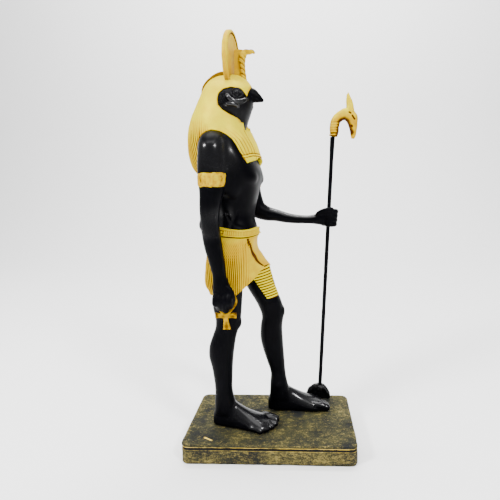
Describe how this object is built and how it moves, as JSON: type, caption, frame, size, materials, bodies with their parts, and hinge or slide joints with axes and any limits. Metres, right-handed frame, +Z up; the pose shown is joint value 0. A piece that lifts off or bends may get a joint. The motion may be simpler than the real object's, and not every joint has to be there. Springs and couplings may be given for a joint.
{
  "type": "egyptian god statue",
  "caption": "Striding falcon-headed god figurine with sun disc, long headdress, pleated kilt, ankh and tall animal-headed staff on a low two-tier rectangular plinth",
  "frame": {"origin": "centre of the plinth's underside", "axes": "+Z up, +X the way the figure strides and faces, -Y the figure's right side"},
  "size_m": [0.1316, 0.0765, 0.3],
  "materials": {
    "plinth": "rough cast resin, charcoal with dry-brushed antique gold",
    "black_body": "gloss black enamel on cast resin, headdress, kilt and ornaments painted antique gold",
    "gold_parts": "antique gold paint with dark wash in the hollows",
    "black_rod": "satin black rod"
  },
  "bodies": {
    "root": {"base": "plinth", "figure": "black_body", "ankh": "gold_parts", "staff_rod": "black_rod", "staff_head": "gold_parts", "staff_foot": "black_body"}
  },
  "joints": []
}
